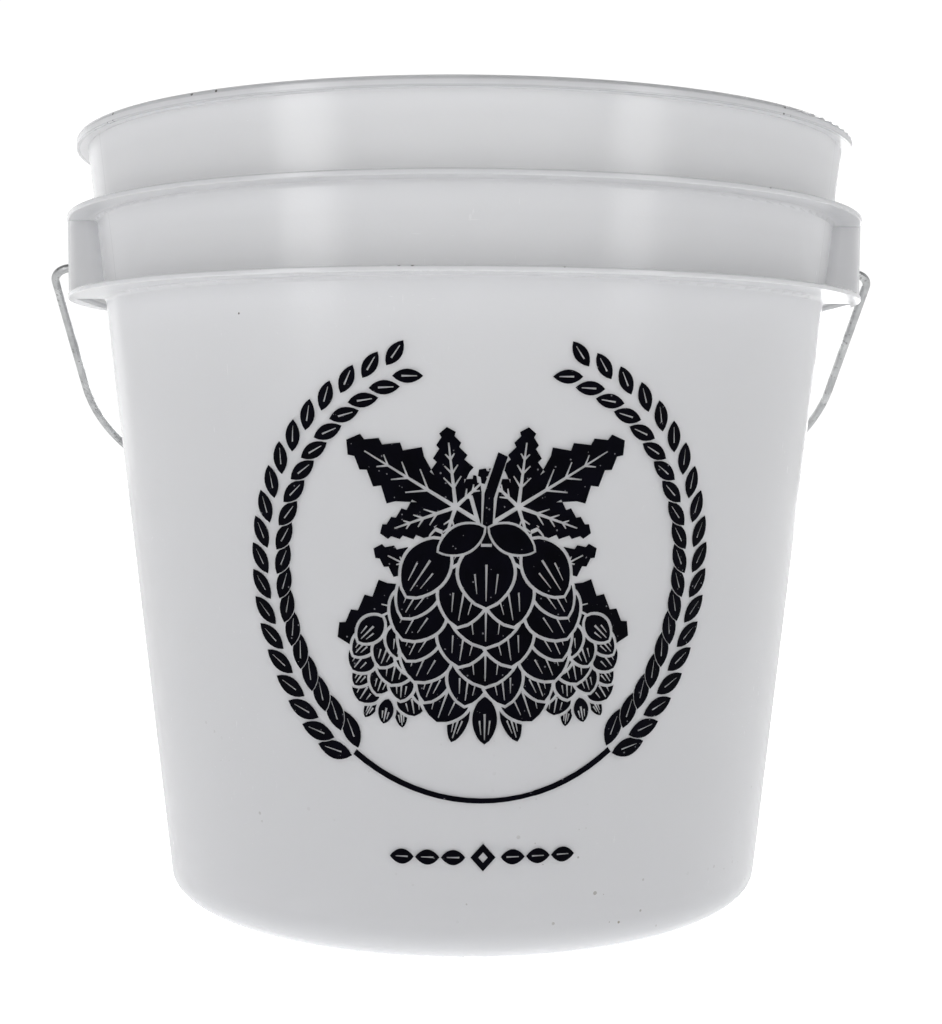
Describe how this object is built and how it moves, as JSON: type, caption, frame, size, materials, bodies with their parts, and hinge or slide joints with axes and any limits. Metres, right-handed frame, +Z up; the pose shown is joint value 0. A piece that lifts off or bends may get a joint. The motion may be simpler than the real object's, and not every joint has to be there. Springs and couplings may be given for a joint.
{
  "type": "fermenting bucket",
  "caption": "Open tapered plastic fermenting pail with stiffening flanges, moulded ears and a swinging wire bail with a turning grip.",
  "frame": {"origin": "centre of the base on the surface the pail stands on", "axes": "+Z up along the pail's axis; the bail's ears and pivot are on X; the printed front faces -Y and the bail rests against the back at +Y"},
  "size_m": [0.27, 0.2512, 0.233],
  "materials": {
    "pail_plastic": "natural translucent polyethylene, satin",
    "bail_steel": "zinc-plated drawn steel wire",
    "grip_plastic": "moulded plastic, satin",
    "print_ink": "screen-printed dark blue-black ink"
  },
  "bodies": {
    "pail": {"bucket": "pail_plastic"},
    "bail": {"bail_wire": "bail_steel"},
    "grip": {"bail_grip": "grip_plastic"}
  },
  "joints": [
    {"name": "bail_swing", "type": "hinge", "parent": "pail", "child": "bail", "pos_m": [0, 0, 0.1962], "axis": [1, 0, 0], "range_deg": [0, 253.8]},
    {"name": "grip_spin", "type": "hinge", "parent": "bail", "child": "grip", "pos_m": [0, 0.11349, 0.11086], "axis": [1, 0, 0], "continuous": true}
  ]
}
